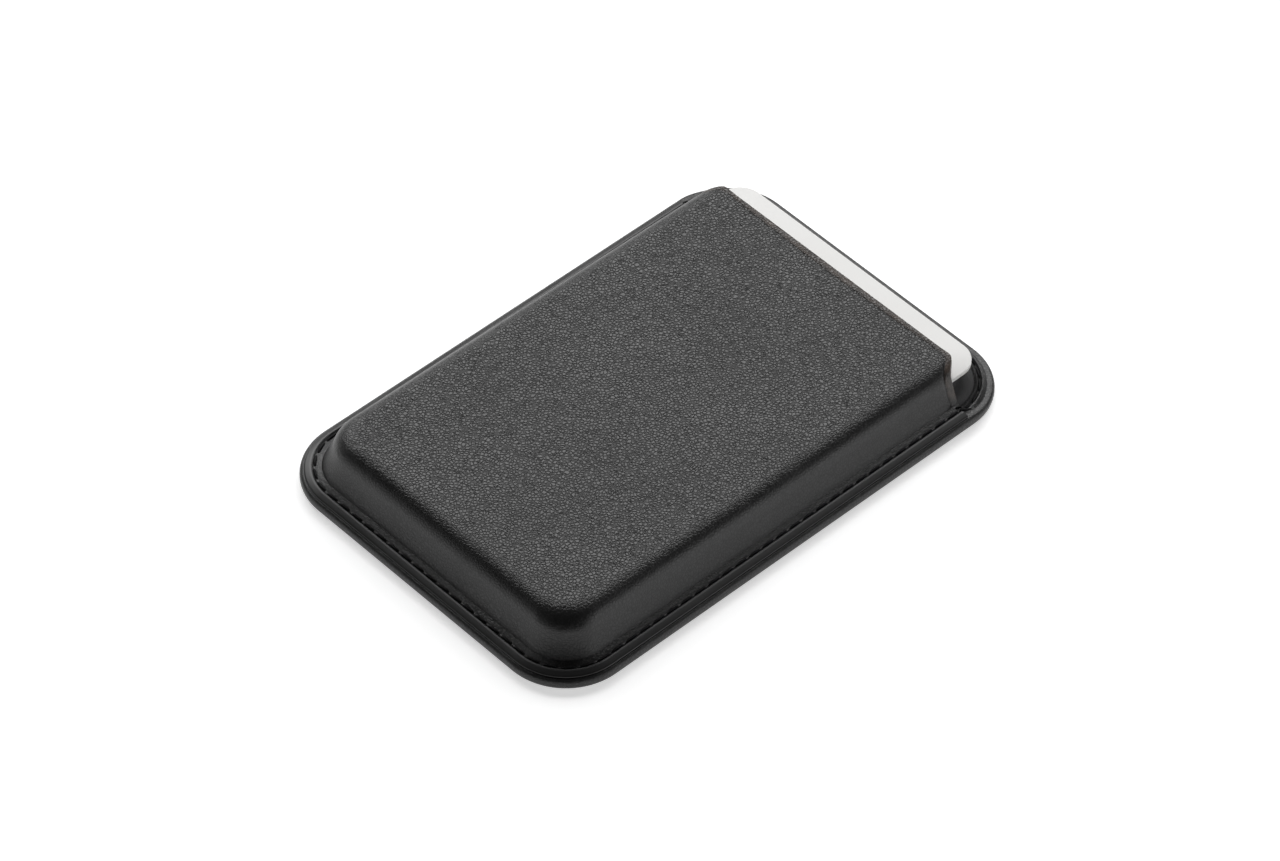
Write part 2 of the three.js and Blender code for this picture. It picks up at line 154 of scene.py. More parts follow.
# Stitches: their gaps and ends are shares of one pitch.
THREAD_RADIUS = 0.23
THREAD_BED = 0.06
THREAD_TWIST = 0.62
THREAD_SIDES = 8
PLY_DEPTH = 0.14
STITCH_GAP = 0.1
STITCH_END = 0.15
STITCH_SINK = 0.12
STITCH_ARCH = 0.2
STITCH_LEAN = 0.14
STITCH_WAIST = 0.75
TACK_HEIGHT = 2.8
TACK_PLACE = 0.5
TACK_REACH = 0.95
TACK_STAGGER = 0.3
TACK_STEP_BEFORE = 0.1
TACK_STEP_AFTER = 0.9
TACK_BED = 0.05
TACK_END_SINK = 0.18
TACK_THINNING = 0.85
TACK_TWIST = 0.6
TACK_THREADS = ((-0.35, 0.35, 0.1), (0.0, -0.3, 0.2), (0.4, 0.25, 0.12))
BACK_THREAD_SHARE = 0.7


# ---- Outline ----------------------------------------------------------------------

def smoothstep(value, low, high):
    share = np.clip((value - low) / (high - low), 0, 1)
    return share * share * (3 - 2 * share)


def steps(start, stop, count):
    return list(np.linspace(start, stop, count + 1))


def wall_section(depth, start_height, top_height, shoulder_radius, foot_steps, shoulder_steps):
    """The pocket wall's section as [inset, height] rows, from the foot to the top."""
    centre = FLANGE_TOP + FOOT_RADIUS * math.cos(FOOT_ANGLE)
    centre_inset = FOOT_INSET - FOOT_RADIUS * math.sin(FOOT_ANGLE)
    radius = FOOT_RADIUS + depth
    start = math.acos(min((centre - start_height) / radius, 1))
    foot = [[centre_inset + radius * math.sin(a), centre - radius * math.cos(a)]
            for a in steps(start, WALL_ANGLE, foot_steps)]
    inset, height = foot[-1]
    shoulder_centre = top_height - shoulder_radius
    rise = shoulder_centre + shoulder_radius * math.cos(WALL_ANGLE) - height
    top_inset = inset + rise / math.tan(WALL_ANGLE) + shoulder_radius * math.sin(WALL_ANGLE)
    shoulder = [[top_inset - shoulder_radius * math.sin(a),
                 shoulder_centre + shoulder_radius * math.cos(a)]
                for a in steps(WALL_ANGLE, 0, shoulder_steps)]
    wall = [[inset + (shoulder[0][0] - inset) * t, height + rise * t]
            for t in steps(0, 1, 3)[1:-1]]
    return foot + wall + shoulder


TOP_INSET = wall_section(0, FLANGE_TOP, TOP_HEIGHT, SHOULDER_RADIUS, 1, 1)[-1][0]


def corner_radius(inset):
    """The outline's corner radius at an inset, down to nothing on the middle line."""
    if inset <= FOOT_INSET:
        return CORNER_RADIUS - inset
    foot = CORNER_RADIUS - FOOT_INSET
    if inset <= TOP_INSET:
        return foot + (TOP_CORNER_RADIUS - foot) * (inset - FOOT_INSET) / (TOP_INSET - FOOT_INSET)
    return TOP_CORNER_RADIUS * (WIDTH / 2 - inset) / (WIDTH / 2 - TOP_INSET)


def mouth_edge(x):
    """Y of the mouth's cut edge at a distance from the middle line."""
    half_top = WIDTH / 2 - TOP_INSET
    across = min(abs(x) / half_top, 1)
    start = half_top + MOUTH_STEP_START
    down = MOUTH_STEP_BACK * float(smoothstep(abs(x), start, start + MOUTH_STEP_WIDTH))
    down += FLANGE_STEP_BACK * float(
        smoothstep(abs(x), half_top + FLANGE_STEP_START, half_top + FLANGE_STEP_END))
    return MOUTH_Y - MOUTH_BOW / 2 + MOUTH_BOW * across * across - down


def arc(x, y, radius, start, stop, count=CORNER_COLUMNS):
    return [(x + radius * math.cos(a), y + radius * math.sin(a))
            for a in steps(start, stop, count)]


SIDE_COLUMNS = round((LENGTH - 2 * CORNER_RADIUS) / COLUMN_STEP)
END_COLUMNS = round((WIDTH - 2 * CORNER_RADIUS) / COLUMN_STEP)


def closed_loop(inset, columns=1.0):
    """The whole outline at an inset, counter-clockwise from above, as x, y points."""
    radius = corner_radius(inset)
    x = WIDTH / 2 - inset - radius
    y = LENGTH / 2 - inset - radius
    side = max(2, round(SIDE_COLUMNS * columns))
    end = max(2, round(END_COLUMNS * columns))
    quarter = math.pi / 2
    turn = max(4, round(CORNER_COLUMNS * columns))
    points = arc(x, y, radius, 0, quarter, turn)
    points += [(px, y + radius) for px in steps(x, -x, end)[1:-1]]
    points += arc(-x, y, radius, quarter, 2 * quarter, turn)
    points += [(-x - radius, py) for py in steps(y, -y, side)[1:-1]]
    points += arc(-x, -y, radius, 2 * quarter, 3 * quarter, turn)
    points += [(px, -y - radius) for px in steps(-x, x, end)[1:-1]]
    points += arc(x, -y, radius, 3 * quarter, 4 * quarter, turn)
    points += [(x + radius, py) for py in steps(-y, y, side)[1:-1]]
    return points


MOUTH_STEPS = [0, 0.05, 0.12, 0.22, 0.35, 0.55, 0.75, 0.9, 1.0, 1.1, 1.25, 1.4, 1.55, 1.65,
               1.75, 1.9, 2.2, 2.7]


def open_loop(inset):
    """The pocket's outline from the mouth's left end round the closed end to its right."""
    radius = corner_radius(inset)
    x = WIDTH / 2 - inset - radius
    y = inset + radius - LENGTH / 2
    mouth = mouth_edge(x + radius)
    near_mouth = [mouth - s for s in MOUTH_STEPS]
    side = near_mouth + steps(near_mouth[-1], y, SIDE_COLUMNS)[1:-1]
    left = [(-x - radius, py) for py in side]
    turn = arc(-x, y, radius, math.pi, 1.5 * math.pi)
    end = [(px, y - radius) for px in steps(-x, x, END_COLUMNS)[1:-1]]
    back = arc(x, y, radius, 1.5 * math.pi, 2 * math.pi)
    right = [(x + radius, py) for py in reversed(side)]
    return left + turn + end + back + right


# ---- Mesh helpers -----------------------------------------------------------------

def new_object(name, points, faces, sharp_angle=40):
    mesh = bpy.data.meshes.new(name)
    mesh.from_pydata([tuple(p) for p in np.asarray(points) * MM], [], faces)
    mesh.validate()
    obj = bpy.data.objects.new(name, mesh)
    bpy.context.scene.collection.objects.link(obj)
    weld(mesh)
    mesh.polygons.foreach_set("use_smooth", [True] * len(mesh.polygons))
    mesh.set_sharp_from_angle(angle=math.radians(sharp_angle))
    return obj


def weld(mesh, distance=2e-7):
    work = bmesh.new()
    work.from_mesh(mesh)
    bmesh.ops.remove_doubles(work, verts=work.verts, dist=distance)
    bmesh.ops.dissolve_degenerate(work, edges=work.edges, dist=distance)
    bmesh.ops.recalc_face_normals(work, faces=work.faces)
    work.to_mesh(mesh)
    work.free()


def grid_faces(rows, columns, closed, first=0):
    faces = []
    for row in range(rows - 1):
        for column in range(columns if closed else columns - 1):
            after = (column + 1) % columns
            a = first + row * columns
            b = a + columns
            faces.append((a + column, a + after, b + after, b + column))
    return faces


def point_attribute(obj, name, values):
    layer = obj.data.attributes.new(name, "FLOAT", "POINT")
    layer.data.foreach_set("value", np.asarray(values, np.float32))


def uneven(x, y, seed):
    spot = Vector((x / UNEVEN_SIZE, y / UNEVEN_SIZE, seed))
    return UNEVENNESS * noise.noise(spot)


# ---- Pocket front -----------------------------------------------------------------

def fallen(y, z):
    return z - y * TOP_FALL * (z - RIM_HEIGHT) / (TOP_HEIGHT - RIM_HEIGHT)


def groove_rows(face, depth, count=10):
    """A round-bottomed groove with soft lips, centred on the seam line."""
    return [[SEAM_INSET + GROOVE_HALF * t, face + depth * math.cos(t * math.pi / 2) ** 2]
            for t in steps(-1, 1, count)]


def pocket_rows():
    """Rows of the pocket front's section: over the top from bead to middle, and the underside."""
    underside = RIM_HEIGHT + GLUE_GAP
    top = steps(TOP_INSET, WIDTH / 2, 22)[1:]
    wall = wall_section(0, VALLEY_END, TOP_HEIGHT, SHOULDER_RADIUS, 14, 14)
    over = BEAD + VALLEY + wall
    over += [[inset, TOP_HEIGHT] for inset in top]
    under_wall = wall_section(
        LEATHER, RIM_HEIGHT, TOP_HEIGHT - LEATHER, SHOULDER_RADIUS - LEATHER, 6, 8)
    under = [[SEAM_INSET, underside]] + [[i, max(z, underside)] for i, z in under_wall]
    under += [[inset, TOP_HEIGHT - LEATHER] for inset in top[1::3]]
    return over, under


def edge_distance(point):
    return mouth_edge(point[0]) - point[1]


def surface_points(rows):
    grid = []
    for inset, z in rows:
        grid.append([(x, y, fallen(y, z)) for x, y in open_loop(inset)])
    return np.array(grid)


def grid_normals(grid):
    along = np.gradient(grid, axis=1)
    across = np.gradient(grid, axis=0)
    normal = np.cross(across, along)
    length = np.linalg.norm(normal, axis=2, keepdims=True)
    normal = normal / np.maximum(length, 1e-9)
    return np.where(normal[..., 2:3] < 0, -normal, normal)


def crease_inset(point):
    """How far inside the cut edge the crease runs: further on the walls than on top."""
    half_top = WIDTH / 2 - TOP_INSET
    wall = smoothstep(abs(point[0]), half_top - CREASE_WALL_START, half_top + CREASE_WALL_END)
    return CREASE_TOP_INSET + (CREASE_WALL_INSET - CREASE_TOP_INSET) * wall


def pocket_front():
    over, under = pocket_rows()
    top = surface_points(over)
    normals = grid_normals(top)
    bead_rows = len(BEAD)
    grain = np.zeros(top.shape[:2])
    band = np.zeros(top.shape[:2])
    for row in range(bead_rows, top.shape[0]):
        inset = over[row][0]
        for column in range(top.shape[1]):
            point = top[row, column]
            distance = edge_distance(point)
            crease = crease_inset(point)
            away = smoothstep(inset, FOOT_INSET, TOP_INSET)
            lift = uneven(point[0], point[1], FRONT_SEED) * away
            if inset > FOOT_INSET:
                fold = (distance - crease) / CREASE_HALF
                lift -= CREASE_DEPTH * math.exp(-fold * fold)
            lift -= lip_drop(distance)
            top[row, column] = point + normals[row, column] * lift
            on_top = smoothstep(inset, TOP_INSET - GRAIN_FADE, TOP_INSET)
            grain[row, column] = WALL_GRAIN + (1 - WALL_GRAIN) * on_top
            on_wall = smoothstep(inset, FOOT_INSET, FOOT_INSET + BAND_START)
            band[row, column] = (1 - smoothstep(distance, crease - BAND_FADE, crease)) * on_wall
    bottom = surface_points(under)
    rows, columns = top.shape[:2]
    under_rows = bottom.shape[0]
    points = np.concatenate([top.reshape(-1, 3), bottom.reshape(-1, 3)])
    first_under = rows * columns
    faces = grid_faces(rows, columns, False)
    faces += grid_faces(under_rows, columns, False, first_under)
    faces += [(c, c + 1, first_under + c + 1, first_under + c) for c in range(columns - 1)]
    faces += mouth_cap(points, rows, under_rows, columns)
    obj = new_object("pocket_front", points, faces)
    paint(obj, points[:first_under], grain.ravel(), band.ravel())
    return obj


def lip_drop(distance):
    """How far the surface turns down at the mouth's rounded lip."""
    inside = max(LIP_RADIUS - max(distance, 0), 0)
    return LIP_RADIUS - math.sqrt(max(LIP_RADIUS ** 2 - inside ** 2, 0))


def mouth_cap(points, rows, under_rows, columns):
    """Closes the cut end: one outline over the top and back along the underside."""
    first_under = rows * columns
    left = [row * columns for row in range(rows)]
    right = [row * columns + columns - 1 for row in range(rows)]
    under_left = [first_under + row * columns for row in range(under_rows)]
    under_right = [first_under + row * columns + columns - 1 for row in range(under_rows)]
    rim = left + right[-2::-1] + under_right + under_left[-2::-1]
    flat = [Vector((points[i][0], points[i][2], 0)) for i in rim]
    return [tuple(rim[i] for i in face) for face in geometry.tessellate_polygon([flat])]


def paint(obj, points, grain, band):
    """Gives the welded mesh its grain and band values, by each point's nearest grid point."""
    tree = kdtree.KDTree(len(points))
    for i, point in enumerate(points):
        tree.insert(point * MM, i)
    tree.balance()
    nearest = [tree.find(v.co)[1] for v in obj.data.vertices]
    point_attribute(obj, "grain", grain[nearest])
    point_attribute(obj, "band", band[nearest])


# ---- Back panel, floor and card ----------------------------------------------------

def loft(name, rows, columns=1.0, sharp_angle=40, shape=None):
    """A closed solid from [inset, height] rows, both ends of which are on the middle line."""
    grid = np.array([[(x, y, z) for x, y in closed_loop(inset, columns)] for inset, z in rows])
    if shape is not None:
        grid = shape(grid, rows)
    faces = grid_faces(grid.shape[0], grid.shape[1], True)
    return new_object(name, grid.reshape(-1, 3), faces, sharp_angle)


def middle_rows(inset, z, count):
    return [[i, z] for i in steps(WIDTH / 2, inset, count)[:-1]]


def lower_bare_roll(grid, rows):
    """The rolled edge is lower past the pocket, where it has one layer less in it."""
    for row, (inset, _) in enumerate(rows):
        edge = 1 - float(smoothstep(inset, ROLL_RADIUS, SEAM_INSET - GROOVE_HALF))
        past = smoothstep(grid[row, :, 1], MOUTH_Y - MOUTH_STEP_BACK, MOUTH_Y + MOUTH_STEP_BACK)
        grid[row, :, 2] *= 1 - (1 - BARE_ROLL) * edge * past
    return grid


def back_panel():
    rim = [[ROLL_RADIUS * (1 - math.sin(a)), ROLL_RADIUS * (1 - math.cos(a))]
           for a in steps(0, math.pi / 2, 14)]
    rim += [[ROLL_RADIUS * (1 - math.cos(a) ** ROLL_SQUARENESS),
             ROLL_RADIUS * (1 + math.sin(a) ** ROLL_SQUARENESS)]
            for a in steps(0, math.pi / 2, 16)[1:]]
    lip = SEAM_INSET - GROOVE_HALF
    rise = [[ROLL_RADIUS + (lip - ROLL_RADIUS) * t,
             2 * ROLL_RADIUS + (RIM_HEIGHT - 2 * ROLL_RADIUS) * float(smoothstep(t, 0, 1))]
            for t in steps(0, 1, 8)[1:-1]]
    rows = middle_rows(SEAM_INSET + GROOVE_HALF, 0, 14)
    rows += list(reversed(groove_rows(0, GROOVE_DEPTH)))
    rows += rim + rise + groove_rows(RIM_HEIGHT, -GROOVE_DEPTH)
    rows += [[LEDGE_INSET - LEDGE_ROUND, RIM_HEIGHT - LEDGE_FALL],
             [LEDGE_INSET, RIM_HEIGHT - LEDGE_EDGE_FALL],
             [LEDGE_INSET, LEDGE_HEIGHT], [TURN_IN_INSET, LEDGE_HEIGHT],
             [TURN_IN_INSET, TURN_IN_UNDERSIDE], [SKIN, TURN_IN_UNDERSIDE], [SKIN, SKIN]]
    rows += list(reversed(middle_rows(SKIN, SKIN, 6)))
    obj = loft("back_panel", rows, shape=lower_bare_roll)
    heights = np.array([v.co.z for v in obj.data.vertices]) / MM
    point_attribute(obj, "grain", np.where(heights < UNDERSIDE_HEIGHT, BACK_GRAIN, RIM_GRAIN))
    point_attribute(obj, "band", np.zeros(len(heights)))
    return obj


def floor_lining():
    ramp = TURN_IN_INSET + LINING_RAMP_START
    edge = LEDGE_INSET + GLUE_GAP
    ledge = LEDGE_HEIGHT + GLUE_GAP
    level = RIM_HEIGHT - GLUE_GAP
    slope = [[ramp + LINING_RAMP * t, level + (FLOOR_TOP - level) * float(smoothstep(t, 0, 1))]
             for t in steps(0, 1, 10)]
    rows = middle_rows(ramp + LINING_RAMP, LINING_UNDERSIDE, 6)
    rows += [[ramp + LINING_RAMP, LINING_UNDERSIDE], [ramp, ledge], [edge, ledge]]
    rows += [[edge + inward, level - fall] for inward, fall in LINING_EDGE_ROWS] + slope
    rows += list(reversed(middle_rows(ramp + LINING_RAMP, FLOOR_TOP, 8)))
    return loft("floor_lining", rows, sharp_angle=50)


def white_card():
    centre = (card_low + card_high) / 2
    half_x, half_y, half_z = (card_high - card_low) / 2
    edge = CARD_EDGE_RADIUS
    rows = []
    for z_side in (-1, 1):
        turn = [(edge * (1 - math.cos(a)), edge * math.sin(a)) for a in steps(0, math.pi / 2, 3)]
        turn = turn if z_side > 0 else turn[::-1]
        rows += [(inset, z_side * (half_z - edge + up)) for inset, up in turn]
    rows = [(half_x, -half_z)] + rows + [(half_x, half_z)]
    quarter = math.pi / 2
    grid = []
    for inset, z in rows:
        radius = max(CARD_CORNER_RADIUS - inset, 0)
        x = half_x - inset - radius
        y = max(half_y - inset - radius, 0)
        loop = []
        for turn, (sx, sy) in enumerate(((1, 1), (-1, 1), (-1, -1), (1, -1))):
            loop += arc(sx * x, sy * y, radius, turn * quarter, (turn + 1) * quarter, 16)
        grid.append([(px + centre[0], py + centre[1], z + centre[2]) for px, py in loop])
    grid = np.array(grid)
    return new_object("white_card", grid.reshape(-1, 3),
                      grid_faces(grid.shape[0], grid.shape[1], True), 60)


# ---- Stitching ----------------------------------------------------------------------

def seam_point(distance):
    """Place and direction on the seam line, going clockwise from the mouth end's middle."""
    radius = CORNER_RADIUS - SEAM_INSET
    x = WIDTH / 2 - SEAM_INSET - radius
    y = LENGTH / 2 - SEAM_INSET - radius
    bend = radius * math.pi / 2
    parts = [("line", x, (0, y + radius), (1, 0)), ("turn", bend, (x, y), math.pi / 2),
             ("line", 2 * y, (x + radius, y), (0, -1)), ("turn", bend, (x, -y), 0),
             ("line", 2 * x, (x, -y - radius), (-1, 0)), ("turn", bend, (-x, -y), -math.pi / 2),
             ("line", 2 * y, (-x - radius, -y), (0, 1)), ("turn", bend, (-x, y), math.pi),
             ("line", x, (-x, y + radius), (1, 0))]
    for kind, length, start, way in parts:
        if distance <= length:
            if kind == "line":
                return (start[0] + way[0] * distance, start[1] + way[1] * distance), way
            angle = way - distance / radius
            place = (start[0] + radius * math.cos(angle), start[1] + radius * math.sin(angle))
            return place, (math.sin(angle), -math.cos(angle))
        distance -= length
    return seam_point(0)


def seam_length():
    radius = CORNER_RADIUS - SEAM_INSET
    straight = 2 * (WIDTH + LENGTH) - 8 * (SEAM_INSET + radius)
    return straight + 2 * math.pi * radius


def thread_tube(path, radius, swell=None, twist=THREAD_TWIST):
    """Points and faces of a two-ply thread along a path of points, closed at both ends."""
    path = np.array(path)
    sides = THREAD_SIDES
    points, faces = [], []
    for i, here in enumerate(path):
        along = path[min(i + 1, len(path) - 1)] - path[max(i - 1, 0)]
        along = along / np.linalg.norm(along)
        out = np.cross(along, (0, 0, 1.0))
        out = out / max(np.linalg.norm(out), 1e-9)
        up = np.cross(out, along)
        size = radius * (1 if swell is None else swell[i])
        for side in range(sides):
            angle = 2 * math.pi * side / sides
            ply = (1 - PLY_DEPTH) + PLY_DEPTH * math.cos(2 * (angle - twist * i))
            points.append(here + size * ply * (out * math.cos(angle) + up * math.sin(angle)))
    for i in range(len(path) - 1):
        for side in range(sides):
            after = (side + 1) % sides
            a = i * sides
            faces.append((a + side, a + after, a + sides + after, a + sides + side))
    faces.append(tuple(range(sides)))
    faces.append(tuple((len(path) - 1) * sides + side for side in reversed(range(sides))))
    return points, faces


def stitch_run(face_height, side):
    """One lockstitch run: a thread piece for each stitch, its two ends down in their holes.

    The side is 1 on the front and -1 on the back face.
    """
    total = seam_length()
    count = round(total / STITCH_PITCH)
    pitch = total / count
    all_points, all_faces = [], []
    for number in range(count):
        path = []
        swell = []
        for t in steps(STITCH_GAP, 1 - STITCH_GAP, 10):
            (x, y), way = seam_point((number + t) * pitch)
            arch = math.sin(math.pi * t)
            lean = STITCH_LEAN * (t - 0.5) * side
            height = face_height(x, y) - side * (STITCH_SINK - STITCH_ARCH * arch)
            if t < STITCH_END or t > 1 - STITCH_END:
                height -= side * STITCH_SINK
            path.append((x - way[1] * lean, y + way[0] * lean, height))
            swell.append(STITCH_WAIST + (1 - STITCH_WAIST) * arch)
        points, faces = thread_tube(path, THREAD_RADIUS, swell, twist=THREAD_TWIST)
        base = len(all_points)
        all_points += points
        all_faces += [tuple(i + base for i in face) for face in faces]
    return all_points, all_faces


FLANGE_END = mouth_edge(WIDTH / 2)


def top_face(x, y):
    bottom = fallen(y, GROOVE_BOTTOM) if y < FLANGE_END else RIM_HEIGHT - GROOVE_DEPTH
    return bottom + THREAD_BED


def tack(side):
    """The small cluster of threads that locks the seam where the flange ends."""
    x = side * (WIDTH / 2 - SEAM_INSET)
    points, faces = [], []
    for shift, lean, rise in TACK_THREADS:
        path = []
        for t in steps(-1, 1, 8):
            y = FLANGE_END + TACK_PLACE + TACK_REACH * t + shift * TACK_STAGGER
            settle = float(
                smoothstep(y, FLANGE_END - TACK_STEP_BEFORE, FLANGE_END + TACK_STEP_AFTER))
            face = TACK_HEIGHT * (1 - settle) + RIM_HEIGHT * settle
            height = face - TACK_BED + rise * (1 - t * t) - TACK_END_SINK * abs(t) ** 4
            path.append((x + shift + lean * t, y, height))
        radius = THREAD_RADIUS * TACK_THINNING
        more_points, more_faces = thread_tube(path, radius, twist=TACK_TWIST)
        base = len(points)
        points += more_points
        faces += [tuple(i + base for i in face) for face in more_faces]
    return points, faces


def stitching():
    points, faces = stitch_run(top_face, 1)
    for side in (-1, 1):
        more_points, more_faces = tack(side)
        base = len(points)
        points += more_points
        faces += [tuple(i + base for i in face) for face in more_faces]
    front = new_object("front_stitching", points, faces, 60)
    points, faces = stitch_run(lambda x, y: GROOVE_DEPTH * BACK_THREAD_SHARE, -1)
    back = new_object("back_stitching", points, faces, 60)
    return front, back


# ---- Materials ------------------------------------------------------------------------

class Nodes:
    """A short way to write a material's node tree."""

    def __init__(self, name):
        self.material = bpy.data.materials.new(name)
        self.material.use_nodes = True
        self.tree = self.material.node_tree
        self.shader = self.tree.nodes["Principled BSDF"]

    def add(self, kind, links=None, **settings):
        node = self.tree.nodes.new(kind)
        for key, value in settings.items():
            setattr(node, key, value)
        for key, value in (links or {}).items():
            self.feed(node, key, value)
        return node

    def feed(self, node, key, value):
        socket = node.inputs[key]
        if isinstance(value, bpy.types.NodeSocket):
            self.tree.links.new(value, socket)
        else:
            socket.default_value = value

    def math(self, operation, a, b=0.0):
        node = self.add("ShaderNodeMath", {0: a, 1: b}, operation=operation)
        return node.outputs[0]

    def mix(self, factor, a, b):
        node = self.add("ShaderNodeMix", {0: factor, 6: a, 7: b}, data_type="RGBA")
        return node.outputs[2]

    def ramp(self, value, low, high, to_low=0.0, to_high=1.0):
        links = {"Value": value, "From Min": low, "From Max": high, "To Min": to_low,
                 "To Max": to_high}
        return self.add("ShaderNodeMapRange", links).outputs[0]

    def noise(self, vector, scale, detail=3.0, roughness=0.5):
        links = {"Vector": vector, "Scale": scale, "Detail": detail, "Roughness": roughness}
        return self.add("ShaderNodeTexNoise", links).outputs["Fac"]

    def attribute(self, name):
        return self.add("ShaderNodeAttribute", attribute_name=name).outputs["Fac"]

    def position(self):
        return self.add("ShaderNodeTexCoord").outputs["Object"]

    def set(self, **values):
        for key, value in values.items():
            self.feed(self.shader, key.replace("_", " "), value)
        return self.material


def colour(r, g, b):
    return (r, g, b, 1.0)


SHEEN = 0.52
PEBBLE_SCALE = 1900.0
PEBBLE_SLOPE = 0.22
PEBBLE_WARP = 0.0004
WARP_SCALE = 900.0
PORE_SCALE = 5200.0
PORE_SHARE = 0.35
GRAIN_HEIGHT = 0.00005
# Valleys between the pebbles get darker colour and lower gloss: partly the leather's own darker
# tone there, partly painted shade of the hollows.
PEBBLE_SHADE, VALLEY_PAINTED_SHADE = 1.05, 0.8
PEBBLE_GLOSS, VALLEY_GLOSS = 1.08, 0.58
VALLEY_ROUGHNESS = 0.1


def leather_material(name, base, burnished, roughness):
    nodes = Nodes(name)
    place = nodes.position()
    warp = nodes.add("ShaderNodeTexNoise", {"Vector": place, "Scale": WARP_SCALE, "Detail": 2.0})
    bend = nodes.add("ShaderNodeVectorMath", {0: warp.outputs["Color"], 1: (0.5, 0.5, 0.5)},
                     operation="SUBTRACT")
    shift = nodes.add("ShaderNodeVectorMath", {0: bend.outputs[0], "Scale": PEBBLE_WARP},
                      operation="SCALE")
    warped = nodes.add("ShaderNodeVectorMath", {0: place, 1: shift.outputs[0]}, operation="ADD")
    cell = nodes.add("ShaderNodeTexVoronoi",
                     {"Vector": warped.outputs[0], "Scale": PEBBLE_SCALE},
                     feature="DISTANCE_TO_EDGE").outputs["Distance"]
    pebble = nodes.add("ShaderNodeMapRange",
                       {"Value": cell, "From Min": 0.0, "From Max": PEBBLE_SLOPE},
                       interpolation_type="SMOOTHSTEP").outputs[0]
    pore = nodes.noise(place, PORE_SCALE, 3.0, 0.6)
    soft = nodes.noise(place, 90.0, 3.0)
    grain = nodes.attribute("grain")
    height = nodes.math("ADD", pebble, nodes.math("MULTIPLY", pore, PORE_SHARE))
    height = nodes.math("MULTIPLY", height, grain)
    bump = nodes.add("ShaderNodeBump",
                     {"Height": height, "Strength": 1.0, "Distance": GRAIN_HEIGHT})
    # Painted shade in the grain's valleys: their colour is darkened and their gloss lowered, on
    # top of the leather's own darker tone there.
    valley = nodes.math("MULTIPLY", nodes.math("SUBTRACT", 1.0, pebble), grain)
    painted_cavity_shade = nodes.ramp(valley, 0.0, 1.0, PEBBLE_SHADE, VALLEY_PAINTED_SHADE)
    gloss = nodes.ramp(valley, 0.0, 1.0, SHEEN * PEBBLE_GLOSS, SHEEN * VALLEY_GLOSS)
    tone = nodes.math("MULTIPLY", painted_cavity_shade, nodes.ramp(soft, 0.3, 0.7, 0.9, 1.1))
    dark = nodes.add("ShaderNodeVectorMath", {0: base[:3], "Scale": tone}, operation="SCALE")
    skin = dark.outputs[0]
    if burnished is not None:
        blotch = nodes.ramp(nodes.noise(place, 500.0, 3.0), 0.35, 0.7, 0.25, 1.0)
        skin = nodes.mix(nodes.math("MULTIPLY", nodes.attribute("band"), blotch), skin, burnished)
    rough = nodes.math("ADD", nodes.ramp(soft, 0.3, 0.7, roughness - 0.03, roughness + 0.03),
                       nodes.math("MULTIPLY", valley, VALLEY_ROUGHNESS))
    return nodes.set(Base_Color=skin, Roughness=rough, Normal=bump.outputs[0],
                     Specular_IOR_Level=gloss)


def lining_material():
    nodes = Nodes("dark_lining")
    place = nodes.position()
    nap = nodes.noise(place, 6500.0, 4.0, 0.65)
    brushed = nodes.noise(place, 260.0, 3.0)
    bump = nodes.add("ShaderNodeBump", {"Height": nap, "Strength": 0.6, "Distance": 0.00004})
    tone = nodes.ramp(brushed, 0.3, 0.7, 0.8, 1.25)
    dark = nodes.add("ShaderNodeVectorMath", {0: (0.011, 0.011, 0.012), "Scale": tone},
                     operation="SCALE")
    rough = nodes.ramp(nap, 0.2, 0.8, 0.6, 0.8)
    return nodes.set(Base_Color=dark.outputs[0], Roughness=rough, Normal=bump.outputs[0],
                     Sheen_Weight=0.15)


def thread_material():
    nodes = Nodes("waxed_thread")
    place = nodes.position()
    fibre = nodes.noise(place, 9000.0, 3.0, 0.6)
    bump = nodes.add("ShaderNodeBump", {"Height": fibre, "Strength": 0.7, "Distance": 0.00003})
    tone = nodes.ramp(fibre, 0.3, 0.7, 0.7, 1.4)
    dark = nodes.add("ShaderNodeVectorMath", {0: (0.006, 0.006, 0.0065), "Scale": tone},
                     operation="SCALE")
    rough = nodes.ramp(fibre, 0.2, 0.8, 0.6, 0.8)
    return nodes.set(Base_Color=dark.outputs[0], Roughness=rough, Normal=bump.outputs[0],
                     Specular_IOR_Level=0.2)


def card_material():
    nodes = Nodes("satin_card")
    place = nodes.position()
    tooth = nodes.noise(place, 4000.0, 3.0)
    cloud = nodes.noise(place, 60.0, 2.0)
    bump = nodes.add("ShaderNodeBump", {"Height": tooth, "Strength": 0.25, "Distance": 0.00001})
    skin = nodes.mix(nodes.ramp(cloud, 0.3, 0.7), colour(0.84, 0.835, 0.815),
                     colour(0.86, 0.855, 0.84))
    rough = nodes.ramp(tooth, 0.3, 0.7, 0.36, 0.46)
    return nodes.set(Base_Color=skin, Roughness=rough, Normal=bump.outputs[0])


def hidden_material(name, base, roughness, metallic, scale, streak=(1.0, 1.0, 1.0)):
    """Moulded, rolled or plated stock for the pieces inside the back panel."""
    nodes = Nodes(name)
    stretched = nodes.add("ShaderNodeMapping", {"Vector": nodes.position(), "Scale": streak})
    place = stretched.outputs[0]
    mark = nodes.noise(place, scale, 4.0, 0.6)
    bump = nodes.add("ShaderNodeBump", {"Height": mark, "Strength": 0.3, "Distance": 0.00002})
    tone = nodes.ramp(mark, 0.3, 0.7, 0.85, 1.15)
    skin = nodes.add("ShaderNodeVectorMath", {0: base, "Scale": tone}, operation="SCALE")
    rough = nodes.ramp(mark, 0.3, 0.7, roughness - 0.08, roughness + 0.08)
    return nodes.set(Base_Color=skin.outputs[0], Roughness=rough, Normal=bump.outputs[0],
                     Metallic=metallic)


def assign(obj, material):
    obj.data.materials.clear()
    obj.data.materials.append(material)


# ---- Build ------------------------------------------------------------------------------

LEATHER_BASE = (0.008, 0.008, 0.0081)
BURNISH = colour(0.075, 0.055, 0.043)

